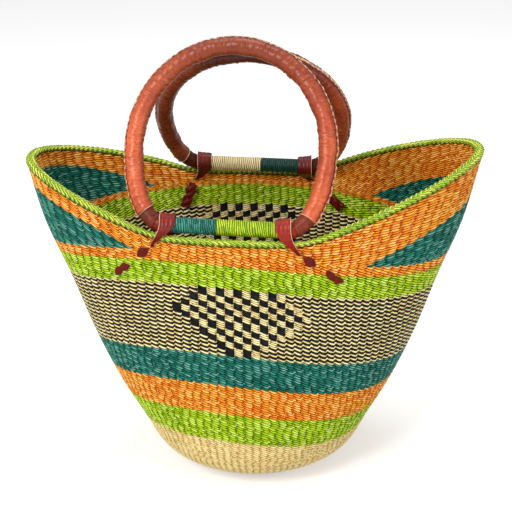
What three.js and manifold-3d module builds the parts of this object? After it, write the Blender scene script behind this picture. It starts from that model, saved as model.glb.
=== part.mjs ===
// A market basket woven of dyed elephant grass, with two leather-bound hoop handles. Millimetres.
// +Z is up, +X runs from the left wing of the mouth to the right one, and -Y is the front.
// The origin is the middle of the round base, on the surface that the basket stands on.
import * as THREE from "three";
import { mergeVertices } from "three/addons/utils/BufferGeometryUtils.js";
import Module from "manifold-3d";

const wasm = await Module();
wasm.setup();

const SEAM = 0.3; // gap between pieces that touch

// The woven wall
const WALL = 5; // thickness of the weave
const BASE_RADIUS = 62; // flat round start of the weave
const RIBS = 56; // facets round the wall
// Outer shape level by level. fullness 1 is an ellipse, less is squarer, more is pointed at the wings.
const LEVELS = [
  { height: 0, halfWidth: BASE_RADIUS, halfDepth: BASE_RADIUS, fullness: 1 },
  { height: 8, halfWidth: 74, halfDepth: 77, fullness: 0.98 },
  { height: 22, halfWidth: 90, halfDepth: 96, fullness: 0.95 },
  { height: 45, halfWidth: 102, halfDepth: 104, fullness: 0.9 },
  { height: 80, halfWidth: 122, halfDepth: 103, fullness: 0.84 },
  { height: 125, halfWidth: 142, halfDepth: 100, fullness: 0.8 },
  { height: 175, halfWidth: 160, halfDepth: 98, fullness: 0.8 },
  { height: 225, halfWidth: 179, halfDepth: 98.5, fullness: 0.78 },
  { height: 275, halfWidth: 193, halfDepth: 99, fullness: 0.96 },
  { height: 320, halfWidth: 206, halfDepth: 100, fullness: 1.1 },
];

// Heights of the dyed bands at the middle of the front, from the base up
const NATURAL_HEIGHT = 52;
const LIME_LOWER_HEIGHT = 25;
const ORANGE_LOWER_HEIGHT = 25.5;
const TEAL_HEIGHT = 27;
const CHECKER_HEIGHT = 59;
const LIME_UPPER_HEIGHT = 19.5;
const ORANGE_UPPER_HEIGHT = 9;
const ORANGE_RIM_HEIGHT = 7;
const LIME_LOWER_TOP = NATURAL_HEIGHT + LIME_LOWER_HEIGHT;
const ORANGE_LOWER_TOP = LIME_LOWER_TOP + ORANGE_LOWER_HEIGHT;
const TEAL_TOP = ORANGE_LOWER_TOP + TEAL_HEIGHT;
const CHECKER_TOP = TEAL_TOP + CHECKER_HEIGHT;
const LIME_UPPER_TOP = CHECKER_TOP + LIME_UPPER_HEIGHT;
const ORANGE_UPPER_TOP = LIME_UPPER_TOP + ORANGE_UPPER_HEIGHT;
const RIM_LOW = ORANGE_UPPER_TOP + ORANGE_RIM_HEIGHT; // top of the weave under the braid
// Hand weaving is never quite level.
const DOWNHILL = 6.5; // the rows run down to the right wing and up to the left by this much
const SAG = 14.5; // the rows lie lower at the wings than at the middle
const FRONT_FALL = 13; // across the front they fall further to the right
const SETTLE_HEIGHT = 60; // the first rows are level, and they are out of true from about here up
const BACK_RISE = 9; // the upper bands lie higher across the back
const BACK_RISE_FADE = 17; // that ends over this height below the rim

// The mouth: level between the lashings, rising in two straight wings
const LEVEL_HALF = 63; // half length of the level stretch
const LEVEL_CENTRE_FRONT = -17;
const LEVEL_CENTRE_BACK = -4;
const WING_HALF = 195; // half width of the mouth
const WING_RISE_LEFT = 39;
const WING_RISE_RIGHT = 57;
const CORNER = 8; // softness of the bend where a wing starts to rise
const WING_CURVE_FRONT = 1.12; // over 1 the edge of a wing is a little hollow, below 1 a little full
const WING_CURVE_BACK = 0.85;

// Teal wedges woven into the wings, between the two orange bands
const GORE_HALF_STEPS = 9; // facets from a wing's tip to the wedge's point
const GORE_HALF_STEPS_BACK_RIGHT = 8;
const GORE_HEIGHT = 48;

// The plaited edge
const BRAID_HALF_WIDTH = 4.2;
const BRAID_HALF_HEIGHT = 2.9;
const BRAID_STRANDS = 100;
const BRAID_NOTCH = 0.84; // how far the plait draws in between two strands
const BRAID_SLANT = 2.5; // how far a strand leans along the rim

// A hoop handle, in its own plane: the bar lies on the X axis and the hoop rises along Z
const HOOP_HALF_WIDTH = 78;
const HOOP_HEIGHT = 149; // from the bar to the top, between centre lines
const HOOP_WIDEST = 65; // height of the widest place
const BAR_HALF = 50; // half length of the straight bar
const HOOP_SIDES = 8; // facets round the core and its covers
const CORE_RADIUS = 4.6; // bundle of grass stalks
const THREAD_RADIUS = 6.5; // grass thread wound round the bar
const BINDING_RADIUS = 6.7; // red leather round each end of the bar
const COLLAR_RADIUS = 7.5;
const SLEEVE_RADIUS = 7.5; // brown leather sewn round the hoop
const SLEEVE_SEAM_LIFT = 1; // the sewn edge stands out along the outside of the hoop
const SLEEVE_PUCKER = 0.35; // the leather is drawn in between folds
const THREAD_END = 43; // where the thread stops and the red leather begins
const BINDING_END = 56; // along the centre line, from the middle of the bar
const COLLAR_END = 69;
const FRONT_BAR_DEPTH = 84; // from the basket's middle plane to the bar
const BACK_BAR_DEPTH = 85;
const FRONT_BAR_ABOVE_RIM = 13.2; // from the top of the weave to the middle of the bar
const BACK_BAR_ABOVE_RIM = 14.7;
const FRONT_BAR_SKEW = (4 * Math.PI) / 180; // the right end of a bar lies this much nearer the front
const BACK_BAR_SKEW = (2.6 * Math.PI) / 180;
const FRONT_LEAN = (28.1 * Math.PI) / 180; // the front hoop leans in by this much
const FRONT_HOOP_X = -20.5; // hoops are lashed on a little off centre
const BACK_HOOP_X = -1.5;
const FRONT_THREAD_SPLIT = -7; // where the thread changes colour, from the bar's middle
const BACK_THREAD_SPLIT = 6;

// Leather lashings
const LASH_AT = 46.5; // from the middle of the bar
const LASH_WIDTH_TOP = 10.5;
const LASH_WIDTH_FOOT = 5;
const LASH_THICKNESS = 1.8;
const LASH_SLACK = 1.1; // round the bar, so that it turns
const LASH_FOOT_RADIUS = 6.5;
const LASH_SPLAY = 13; // the foot of a lashing lies further out than its top
const LASH_FOOT_DEPTH = 4.2; // the strap crosses the weave this far below its top
const SLOT = { width: 6.6, below: 1.4, above: 2.8 }; // round the middle of the strap
const LEAF = { length: 11, width: 6, thickness: 2.2, out: 8, down: 5.5 };
const TWIST = { length: 17, width: 6, thickness: 3, out: 27, down: 21.5 };
const KNOT = { length: 22, radius: 5.8, lumps: 3, outLeft: 9, outRight: 24 };

const COLOUR = {
  natural: 0xe2c87d,
  lime: 0x9bb82a,
  orange: 0xe08a33,
  teal: 0x2e6b62,
  checker: 0x6f664c,
  leather: 0xcf6a48,
  redLeather: 0xa0402f,
  collar: 0x7d4038,
  darkLeather: 0x5a211b,
  tealThread: 0x22695b,
  limeThread: 0x9fc118,
  naturalThread: 0xd8c080,
  darkTealThread: 0x123c32,
};

const basket = new THREE.Group();
basket.name = "market_basket";

function addMesh(parent, name, geometry, colour, roughness = 0.85) {
  const material = new THREE.MeshStandardMaterial({ color: colour, roughness, metalness: 0 });
  const mesh = new THREE.Mesh(geometry, material);
  mesh.name = name;
  parent.add(mesh);
  return mesh;
}

// A value at a height, on a smooth curve through the levels.
function level(key, z) {
  const last = LEVELS.length - 1;
  const i = Math.max(0, Math.min(last - 1, LEVELS.findIndex((at) => at.height > z) - 1));
  const at = LEVELS[z >= LEVELS[last].height ? last - 1 : i];
  const next = LEVELS[LEVELS.indexOf(at) + 1];
  const slope = (k) => {
    const a = LEVELS[Math.max(0, k - 1)];
    const b = LEVELS[Math.min(last, k + 1)];
    return (b[key] - a[key]) / (b.height - a.height);
  };
  const k = LEVELS.indexOf(at);
  const span = next.height - at.height;
  const t = (z - at.height) / span;
  const t2 = t * t;
  const t3 = t2 * t;
  return (
    at[key] * (2 * t3 - 3 * t2 + 1) +
    next[key] * (3 * t2 - 2 * t3) +
    span * (slope(k) * (t3 - 2 * t2 + t) + slope(k + 1) * (t3 - t2))
  );
}

// A point on the outside of the wall. The angle runs from the right wing round by the back.
function outside(angle, z) {
  const s = Math.sin(angle);
  const x = level("halfWidth", z) * Math.cos(angle);
  const y = level("halfDepth", z) * Math.sign(s) * Math.abs(s) ** level("fullness", z);
  return new THREE.Vector3(x, y, z);
}

// The outward direction there. The flat base faces straight down.
function outward(angle, z) {
  if (z <= 0) return new THREE.Vector3(0, 0, -1);
  const d = 0.03;
  const around = outside(angle + d, z).sub(outside(angle - d, z));
  const up = outside(angle, z + 1).sub(outside(angle, Math.max(0, z - 1)));
  return around.cross(up).normalize();
}

// A point at a depth below the outside: 0 is outside and WALL is inside.
function inWall(angle, z, depth) {
  return outside(angle, z).addScaledVector(outward(angle, z), -depth);
}

// Height of a row of the weave round the basket, from its height at the middle of the front.
function rowHeight(row, angle) {
  const c = Math.cos(angle);
  const settle = 1 - Math.exp(-row / SETTLE_HEIGHT);
  const back = Math.max(0, Math.sin(angle));
  const front = Math.max(0, -Math.sin(angle));
  const fall = DOWNHILL * c + SAG * c * c + FRONT_FALL * c * front * front;
  const rise = BACK_RISE * Math.min(1, row / CHECKER_TOP) * Math.min(1, (RIM_LOW - row) / BACK_RISE_FADE);
  return row - settle * fall + rise * back;
}

// Height of the top of the weave.
function wallTop(angle) {
  const c = Math.cos(angle);
  const turn = (1 + Math.sin(angle)) / 2;
  const centre = LEVEL_CENTRE_FRONT + (LEVEL_CENTRE_BACK - LEVEL_CENTRE_FRONT) * turn;
  const bend = (past) => (Math.hypot(past, CORNER) + past) / 2;
  const past = Math.abs(WING_HALF * c - centre) - LEVEL_HALF;
  const end = WING_HALF - Math.sign(c) * centre - LEVEL_HALF;
  const rise = c > 0 ? WING_RISE_RIGHT : WING_RISE_LEFT;
  const curve = WING_CURVE_FRONT + (WING_CURVE_BACK - WING_CURVE_FRONT) * turn;
  return RIM_LOW - DOWNHILL * c + rise * (bend(past) / bend(end)) ** curve;
}

const STEP = (2 * Math.PI) / RIBS;

// Lower edge of the orange rim band: it climbs over the teal wedges at the wings.
function rimBandFoot(angle) {
  const backRight = Math.sin(angle) > 0 && Math.cos(angle) > 0;
  const point = Math.cos((backRight ? GORE_HALF_STEPS_BACK_RIGHT : GORE_HALF_STEPS) * STEP);
  const past = (Math.abs(Math.cos(angle)) - point) / (1 - point);
  return rowHeight(ORANGE_UPPER_TOP, angle) + GORE_HEIGHT * Math.max(0, past);
}

// A closed mesh from rings of points, joined one to the next. A closed loft joins its last ring to its first.
function loft(rings, closed = false) {
  const n = rings[0].length;
  const points = rings.flat();
  const faces = [];
  const last = closed ? rings.length : rings.length - 1;
  for (let i = 0; i < last; i++) {
    const a = i * n;
    const b = ((i + 1) % rings.length) * n;
    for (let j = 0; j < n; j++) {
      const k = (j + 1) % n;
      faces.push(a + j, b + j, b + k, a + j, b + k, a + k);
    }
  }
  if (!closed) {
    for (const [ring, flip] of [[0, false], [rings.length - 1, true]]) {
      const middle = points.length;
      const centre = new THREE.Vector3();
      rings[ring].forEach((p) => centre.addScaledVector(p, 1 / n));
      points.push(centre);
      for (let j = 0; j < n; j++) {
        const p = ring * n + j;
        const q = ring * n + ((j + 1) % n);
        faces.push(middle, flip ? q : p, flip ? p : q);
      }
    }
  }
  return facingOut(points, faces);
}

// A geometry from points and faces, turned so that its faces point outwards.
function facingOut(points, faces) {
  let volume = 0;
  for (let i = 0; i < faces.length; i += 3) {
    const [a, b, c] = [points[faces[i]], points[faces[i + 1]], points[faces[i + 2]]];
    volume += a.dot(b.clone().cross(c));
  }
  const index = volume < 0 ? faces.slice().reverse() : faces;
  const geometry = new THREE.BufferGeometry().setFromPoints(points);
  geometry.setIndex(index);
  geometry.computeVertexNormals();
  return geometry;
}

// One geometry minus others.
function cut(geometry, tools) {
  const solid = (g) => {
    const bare = g.clone();
    bare.deleteAttribute("normal");
    bare.deleteAttribute("uv");
    const merged = mergeVertices(bare);
    const mesh = new wasm.Mesh({
      numProp: 3,
      vertProperties: merged.attributes.position.array,
      triVerts: new Uint32Array(merged.index.array),
    });
    return new wasm.Manifold(mesh);
  };
  const left = tools.reduce((whole, tool) => whole.subtract(solid(tool)), solid(geometry));
  const mesh = left.getMesh();
  const result = new THREE.BufferGeometry();
  result.setAttribute("position", new THREE.BufferAttribute(mesh.vertProperties, 3));
  result.setIndex(new THREE.BufferAttribute(mesh.triVerts, 1));
  result.computeVertexNormals();
  return result;
}

// The cross-section of a band at one angle, between two heights, as a closed ring of points.
function bandSection(angle, foot, top, shares) {
  const heights = shares.map((share) => foot + (top - foot) * share);
  const outer = heights.map((z) => inWall(angle, z, 0));
  const inner = heights.map((z) => inWall(angle, z, WALL));
  return [...outer, ...inner.reverse()];
}

// A band all the way round, between two row lines.
function band(foot, top, shares) {
  const rings = Array.from({ length: RIBS }, (_, i) => {
    const angle = i * STEP;
    return bandSection(angle, foot(angle), top(angle) - SEAM, shares);
  });
  return loft(rings, true);
}

function rowLine(row) {
  return (angle) => (row === 0 ? 0 : rowHeight(row, angle));
}

function addWall() {
  const even = (parts) => Array.from({ length: parts + 1 }, (_, i) => i / parts);
  const bowl = LEVELS.filter((at) => at.height < NATURAL_HEIGHT).map((at) => at.height / NATURAL_HEIGHT);
  const bands = [
    ["natural_band", 0, NATURAL_HEIGHT, [...bowl, 1], COLOUR.natural],
    ["lime_band_lower", NATURAL_HEIGHT, LIME_LOWER_TOP, even(2), COLOUR.lime],
    ["orange_band_lower", LIME_LOWER_TOP, ORANGE_LOWER_TOP, even(2), COLOUR.orange],
    ["teal_band", ORANGE_LOWER_TOP, TEAL_TOP, even(2), COLOUR.teal],
    ["checker_band", TEAL_TOP, CHECKER_TOP, even(3), COLOUR.checker],
    ["lime_band_upper", CHECKER_TOP, LIME_UPPER_TOP, even(1), COLOUR.lime],
    ["orange_band_upper", LIME_UPPER_TOP, ORANGE_UPPER_TOP, even(1), COLOUR.orange],
  ];
  for (const [name, foot, top, shares, colour] of bands) {
    addMesh(basket, name, band(rowLine(foot), rowLine(top), shares), colour);
  }
  const disc = new THREE.CylinderGeometry(BASE_RADIUS - SEAM, BASE_RADIUS - SEAM, WALL, RIBS);
  disc.rotateX(Math.PI / 2);
  disc.translate(0, 0, WALL / 2);
  addMesh(basket, "base_disc", disc, COLOUR.natural);
  addGore("teal_gore_right", 0, GORE_HALF_STEPS, GORE_HALF_STEPS_BACK_RIGHT);
  addGore("teal_gore_left", Math.PI, GORE_HALF_STEPS, GORE_HALF_STEPS);
  const slots = lashings().map(slotTool);
  const rimBand = band(rimBandFoot, wallTop, even(2));
  addMesh(basket, "orange_rim_band", cut(rimBand, slots), COLOUR.orange);
}

// A teal wedge at the wing whose tip lies at an angle, with its two points so many facets before and after it.
function addGore(name, tip, before, after) {
  const blunt = 0.25; // the points stop short by this share of a facet
  const steps = [blunt - before];
  for (let i = 1 - before; i < after; i++) steps.push(i);
  steps.push(after - blunt);
  const rings = steps.map((step) => {
    const angle = tip + step * STEP;
    const foot = rowHeight(ORANGE_UPPER_TOP, angle);
    return bandSection(angle, foot, rimBandFoot(angle) - SEAM, [0, 0.5, 1]);
  });
  addMesh(basket, name, loft(rings), COLOUR.teal);
}

// Centre line of the plaited edge, on top of the weave.
function braidPoint(angle) {
  const top = wallTop(angle);
  const steepest = 1.24; // the plait is thicker along Z where the rim climbs
  const middle = inWall(angle, top, WALL / 2);
  middle.z = top + SEAM + BRAID_HALF_HEIGHT * steepest;
  return middle;
}

function addBraid() {
  const line = Array.from({ length: 2 * RIBS }, (_, i) => braidPoint((i * STEP) / 2));
  const path = new THREE.CatmullRomCurve3(line, true);
  path.arcLengthDivisions = 1000;
  const rings = Array.from({ length: 2 * BRAID_STRANDS }, (_, i) => {
    const at = path.getPointAt(i / (2 * BRAID_STRANDS));
    const along = path.getTangentAt(i / (2 * BRAID_STRANDS));
    const up = new THREE.Vector3(0, 0, 1).addScaledVector(along, -along.z).normalize();
    const side = new THREE.Vector3().crossVectors(along, up);
    const size = i % 2 ? BRAID_NOTCH : 1;
    return Array.from({ length: 6 }, (_, j) => {
      const turn = ((j + 0.5) * Math.PI) / 3;
      return at
        .clone()
        .addScaledVector(side, BRAID_HALF_WIDTH * size * Math.cos(turn))
        .addScaledVector(up, BRAID_HALF_HEIGHT * size * Math.sin(turn))
        .addScaledVector(along, BRAID_SLANT * Math.sin(turn));
    });
  });
  addMesh(basket, "rim_braid", loft(rings, true), COLOUR.lime);
}

// Centre line of a hoop in its own plane: a straight bar, two tight lower corners and a high arch.
// The argument is the distance along the line from the middle of the bar, towards +X.
const HOOP = hoopCurve();
function hoopCurve() {
  const quarter = (centreX, centreZ, radiusX, radiusZ, from, to) =>
    Array.from({ length: 13 }, (_, i) => {
      const turn = from + ((to - from) * i) / 12;
      return new THREE.Vector3(centreX + radiusX * Math.cos(turn), 0, centreZ + radiusZ * Math.sin(turn));
    });
  const corner = HOOP_HALF_WIDTH - BAR_HALF;
  const right = quarter(BAR_HALF, HOOP_WIDEST, corner, HOOP_WIDEST, -Math.PI / 2, 0);
  const arch = quarter(0, HOOP_WIDEST, HOOP_HALF_WIDTH, HOOP_HEIGHT - HOOP_WIDEST, 0, Math.PI / 2);
  const rise = [...right, ...arch.slice(1)];
  const bar = [0, BAR_HALF / 3, (2 * BAR_HALF) / 3].map((x) => new THREE.Vector3(x, 0, 0));
  const mirror = (p) => new THREE.Vector3(-p.x, 0, p.z);
  const half = [...bar, ...rise];
  const points = [...half, ...half.slice(1, -1).reverse().map(mirror)];
  const curve = new THREE.CatmullRomCurve3(points, true);
  curve.arcLengthDivisions = 2000;
  return { curve, length: curve.getLength() };
}

// A ring of points round the hoop's centre line at a distance along it. Turn 0 is the hoop's outer edge.
function hoopPoint(distance, radius, turn) {
  const share = (((distance / HOOP.length) % 1) + 1) % 1;
  const at = HOOP.curve.getPointAt(share);
  const along = HOOP.curve.getTangentAt(share);
  const outer = new THREE.Vector3(along.z, 0, -along.x);
  const flat = new THREE.Vector3(0, 1, 0);
  return at.addScaledVector(outer, radius * Math.cos(turn)).addScaledVector(flat, radius * Math.sin(turn));
}

function evenly(from, to, parts) {
  return Array.from({ length: parts + 1 }, (_, i) => from + ((to - from) * i) / parts);
}

// Where the facets of the core and of what covers it lie along the hoop, so that they follow each other.
const BINDING_CUTS = evenly(THREAD_END, BINDING_END, 3);
const COLLAR_CUTS = evenly(BINDING_END, COLLAR_END, 3);
const LEATHER_CUTS = evenly(COLLAR_END, HOOP.length - COLLAR_END, 24);
const otherEnd = (cuts) => cuts.map((d) => HOOP.length - d).reverse();

// A hollow sleeve round the core between the first and last of some cuts, short of them by half a seam.
function sleeve(cuts, outerRadius) {
  const distances = cuts.slice();
  distances[0] += SEAM / 2;
  distances[cuts.length - 1] -= SEAM / 2;
  const rings = Array.from({ length: HOOP_SIDES }, (_, j) => {
    const turn = (j * 2 * Math.PI) / HOOP_SIDES;
    const out = distances.map((d, i) => hoopPoint(d, outerRadius(i, turn), turn));
    const back = distances.map((d) => hoopPoint(d, CORE_RADIUS + SEAM, turn));
    return [...out, ...back.reverse()];
  });
  return loft(rings, true);
}

// The grass core, a closed hoop.
function core() {
  const cuts = [
    ...BINDING_CUTS,
    ...COLLAR_CUTS.slice(1),
    ...LEATHER_CUTS.slice(1),
    ...otherEnd(COLLAR_CUTS).slice(1),
    ...otherEnd(BINDING_CUTS).slice(1),
  ];
  const turns = Array.from({ length: HOOP_SIDES }, (_, j) => (j * 2 * Math.PI) / HOOP_SIDES);
  return loft(cuts.map((d) => turns.map((turn) => hoopPoint(d, CORE_RADIUS, turn))), true);
}

// One hoop with everything that turns with it. Its group's X axis is the axis of the bar.
function addHoop(parent, side, threads, split) {
  addMesh(parent, `${side}_hoop_core`, core(), COLOUR.natural);
  const round = (radius) => () => radius;
  const leather = (i, turn) => {
    const lift = turn === 0 ? SLEEVE_SEAM_LIFT : 0;
    return SLEEVE_RADIUS + lift - (i % 2) * SLEEVE_PUCKER;
  };
  addMesh(parent, `${side}_hoop_leather`, sleeve(LEATHER_CUTS, leather), COLOUR.leather, 0.5);
  const thread = { left: [-THREAD_END, split], right: [split, THREAD_END] };
  const binding = { left: otherEnd(BINDING_CUTS), right: BINDING_CUTS };
  const collar = { left: otherEnd(COLLAR_CUTS), right: COLLAR_CUTS };
  for (const end of ["left", "right"]) {
    addMesh(parent, `${side}_bar_thread_${end}`, sleeve(thread[end], round(THREAD_RADIUS)), threads[end]);
    addMesh(parent, `${side}_bar_binding_${end}`, sleeve(binding[end], round(BINDING_RADIUS)),
      COLOUR.redLeather, 0.4);
    addMesh(parent, `${side}_hoop_collar_${end}`, sleeve(collar[end], round(COLLAR_RADIUS)),
      COLOUR.collar, 0.45);
  }
}

// Where a bar lies: just inside the braid, parallel to the level stretch of the rim.
const BAR_TILT = Math.atan2(DOWNHILL, WING_HALF);
function barHeight(facing, x) {
  const above = facing < 0 ? FRONT_BAR_ABOVE_RIM : BACK_BAR_ABOVE_RIM;
  return RIM_LOW + above - x * Math.tan(BAR_TILT);
}
function barY(facing, x) {
  return facing < 0
    ? -FRONT_BAR_DEPTH - (x - FRONT_HOOP_X) * Math.tan(FRONT_BAR_SKEW)
    : BACK_BAR_DEPTH - (x - BACK_HOOP_X) * Math.tan(BACK_BAR_SKEW);
}

// The back hoop leans in until its top rests on the front hoop, whose plane is a hoop's thickness away.
const BACK_LEAN = restingLean();
function restingLean() {
  const climb = barHeight(1, BACK_HOOP_X) - barHeight(-1, FRONT_HOOP_X);
  const away = (FRONT_BAR_DEPTH + BACK_BAR_DEPTH) * Math.cos(FRONT_LEAN) - climb * Math.sin(FRONT_LEAN);
  return Math.asin((away - 2 * SLEEVE_RADIUS - SEAM) / HOOP_HEIGHT) - FRONT_LEAN;
}

// Every lashing: the hoop it holds, its side of that hoop and where it crosses the wall.
function lashings() {
  const all = [];
  for (const [side, facing, hoopX] of [["front", -1, FRONT_HOOP_X], ["back", 1, BACK_HOOP_X]]) {
    for (const [name, sign] of [["left", -1], ["right", 1]]) {
      const topX = hoopX + sign * LASH_AT;
      const angle = angleAt(topX + sign * LASH_SPLAY, facing);
      const z = wallTop(angle) - SEAM - LASH_FOOT_DEPTH;
      all.push({ name: `${side}_${name}`, facing, sign, topX, angle, z, foot: inWall(angle, z, WALL / 2) });
    }
  }
  return all;
}

// The angle at which the top of the weave reaches an X, on the front (-1) or the back (1).
function angleAt(x, facing) {
  let c = x / WING_HALF;
  for (let i = 0; i < 8; i++) {
    c = x / level("halfWidth", wallTop(facing * Math.acos(c)));
  }
  return facing * Math.acos(c);
}

function slotTool({ foot }) {
  const box = new THREE.BoxGeometry(SLOT.width, 6 * WALL, SLOT.below + SLOT.above);
  return box.translate(foot.x, foot.y, foot.z + (SLOT.above - SLOT.below) / 2);
}

// A leather strap over the bar, down both sides of the plaited edge and through a slot in the weave.
function addLashing({ name, facing, sign, topX, foot }) {
  const top = new THREE.Vector3(topX, barY(facing, topX), barHeight(facing, topX));
  const topRadius = BINDING_RADIUS + LASH_SLACK + LASH_THICKNESS / 2;
  const low = foot.clone();
  low.z += LASH_FOOT_RADIUS;
  const apart = Math.hypot(top.y - low.y, top.z - low.z);
  const towardsTop = Math.atan2(top.z - low.z, top.y - low.y);
  const wrap = Math.acos((topRadius - LASH_FOOT_RADIUS) / apart); // from there to where the strap runs straight
  const arc = (centre, radius, from, to) =>
    evenly(from, to, 6).map((turn) => ({
      y: centre.y + radius * Math.cos(turn),
      z: centre.z + radius * Math.sin(turn),
      normal: new THREE.Vector3(0, Math.cos(turn), Math.sin(turn)),
    }));
  const straight = (from, to) =>
    evenly(0, 1, 4).slice(1, -1).map((share) => ({
      y: from.y + share * (to.y - from.y),
      z: from.z + share * (to.z - from.z),
      normal: from.normal,
    }));
  const over = arc(top, topRadius, towardsTop - wrap, towardsTop + wrap);
  const under = arc(low, LASH_FOOT_RADIUS, towardsTop + wrap, towardsTop + 2 * Math.PI - wrap);
  const down = straight(over.at(-1), under[0]);
  const up = straight(under.at(-1), over[0]);
  const rings = [...over, ...down, ...under, ...up].map(({ y, z, normal }) => {
    const fall = (top.y - y) * Math.cos(towardsTop) + (top.z - z) * Math.sin(towardsTop);
    const share = Math.min(1, Math.max(0, fall / apart));
    const x = top.x + share ** 3 * (foot.x - top.x); // it turns outwards as it comes down
    const width = LASH_WIDTH_TOP + share * (LASH_WIDTH_FOOT - LASH_WIDTH_TOP);
    return [[-1, -1], [1, -1], [1, 1], [-1, 1]].map(([u, v]) =>
      new THREE.Vector3(x + (u * width) / 2, y, z).addScaledVector(normal, (v * LASH_THICKNESS) / 2),
    );
  });
  addMesh(basket, `lashing_${name}`, loft(rings, true), COLOUR.redLeather, 0.4);
  addStitch(`stitch_leaf_${name}`, LEAF, foot, facing, sign);
  addStitch(`stitch_twist_${name}`, TWIST, foot, facing, sign);
  addKnot(name, foot, facing, sign);
}

// A frame lying on the wall: x points out along the wall and down, and z away from the wall.
function wallFrame(angle, z, depth, fall) {
  const away = outward(angle, z).multiplyScalar(depth > 0 ? -1 : 1);
  const along = fall.clone().addScaledVector(away, -fall.dot(away)).normalize();
  const across = new THREE.Vector3().crossVectors(away, along);
  return { at: inWall(angle, z, depth), away, along, across };
}

// A short leather stitch on the outside of the wall, running outwards and down.
function addStitch(name, size, foot, facing, sign) {
  const z = foot.z - size.down;
  const angle = angleOnWall(foot.x + sign * size.out, z, facing);
  const frame = wallFrame(angle, z, 0, new THREE.Vector3(sign, 0, -1));
  const bead = new THREE.SphereGeometry(0.5, 8, 5);
  bead.scale(size.length, size.width, size.thickness);
  const turn = new THREE.Matrix4().makeBasis(frame.along, frame.across, frame.away);
  bead.applyMatrix4(turn);
  const seat = frame.at.addScaledVector(frame.away, size.thickness / 2 + SEAM);
  bead.translate(seat.x, seat.y, seat.z);
  addMesh(basket, name, bead, COLOUR.darkLeather, 0.5);
}

// The angle at which the wall reaches an X at a height.
function angleOnWall(x, z, facing) {
  return facing * Math.acos(x / level("halfWidth", z));
}

// The knotted tail of a lashing, hanging down the inside of the wall.
function addKnot(name, foot, facing, sign) {
  const out = sign * (sign < 0 ? KNOT.outLeft : KNOT.outRight);
  const start = foot.z - LASH_THICKNESS / 2 - SEAM;
  const rings = evenly(0, 1, 4 * KNOT.lumps).map((share) => {
    const fall = share * KNOT.length;
    const radius = KNOT.radius * (0.72 + 0.28 * Math.cos(2 * Math.PI * KNOT.lumps * share + Math.PI));
    const z = start - KNOT.radius * 0.5 - fall;
    const angle = angleOnWall(foot.x + share * out, z, facing);
    const frame = wallFrame(angle, z, WALL, new THREE.Vector3(out, 0, -KNOT.length));
    const centre = frame.at.addScaledVector(frame.away, KNOT.radius + SEAM);
    return Array.from({ length: 8 }, (_, j) => {
      const turn = (j * Math.PI) / 4;
      return centre
        .clone()
        .addScaledVector(frame.across, radius * Math.cos(turn))
        .addScaledVector(frame.away, radius * Math.sin(turn));
    });
  });
  addMesh(basket, `knot_${name}`, loft(rings), COLOUR.darkLeather, 0.5);
}

function placeHoop(side, facing, x, skew, lean, threads, split) {
  const mount = new THREE.Group();
  mount.position.set(x, barY(facing, x), barHeight(facing, x));
  mount.rotation.set(0, BAR_TILT, -skew, "ZYX");
  const hoop = new THREE.Group();
  hoop.rotation.x = facing * lean;
  mount.add(hoop);
  basket.add(mount);
  addHoop(hoop, side, threads, split);
}

function addHandles() {
  const frontThreads = { left: COLOUR.tealThread, right: COLOUR.limeThread };
  const backThreads = { left: COLOUR.naturalThread, right: COLOUR.darkTealThread };
  placeHoop("front", -1, FRONT_HOOP_X, FRONT_BAR_SKEW, FRONT_LEAN, frontThreads, FRONT_THREAD_SPLIT);
  placeHoop("back", 1, BACK_HOOP_X, BACK_BAR_SKEW, BACK_LEAN, backThreads, BACK_THREAD_SPLIT);
  lashings().forEach(addLashing);
}

addWall();
addBraid();
addHandles();

export default basket;
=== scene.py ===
"""Looks of a market basket woven of dyed elephant grass, with two leather-bound hoop handles.

Lengths are in millimetres until a mesh is made. +Z is up, +X runs from the left wing of the mouth to the
right one, and -Y is the front. Angles round the wall run from the right wing by the back.
"""

import math

import bmesh
import bpy
import numpy as np
from mathutils import Matrix, Vector


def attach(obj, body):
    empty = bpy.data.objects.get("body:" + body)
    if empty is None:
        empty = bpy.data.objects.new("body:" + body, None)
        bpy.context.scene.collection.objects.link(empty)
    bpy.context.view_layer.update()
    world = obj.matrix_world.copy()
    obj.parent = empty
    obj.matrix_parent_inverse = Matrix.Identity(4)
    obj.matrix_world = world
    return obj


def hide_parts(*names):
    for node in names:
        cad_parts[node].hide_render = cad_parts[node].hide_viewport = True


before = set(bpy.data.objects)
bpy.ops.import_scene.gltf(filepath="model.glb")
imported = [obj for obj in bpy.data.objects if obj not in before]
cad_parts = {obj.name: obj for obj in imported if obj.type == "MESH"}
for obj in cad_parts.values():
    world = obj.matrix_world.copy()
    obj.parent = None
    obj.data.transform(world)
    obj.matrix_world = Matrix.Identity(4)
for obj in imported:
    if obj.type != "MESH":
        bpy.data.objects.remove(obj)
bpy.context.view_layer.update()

MM = 0.001

# The wall's outer shape level by level, as in the solids
LEVEL_HEIGHT = np.array([0, 8, 22, 45, 80, 125, 175, 225, 275, 320.0])
HALF_WIDTH = np.array([62, 74, 90, 102, 122, 142, 160, 179, 193, 206.0])
HALF_DEPTH = np.array([62, 77, 96, 104, 103, 100, 98, 98.5, 99, 100.0])
FULLNESS = np.array([1, 0.98, 0.95, 0.9, 0.84, 0.8, 0.8, 0.78, 0.96, 1.1])
WALL = 5.0
BASE_RADIUS = 62.0

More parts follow.
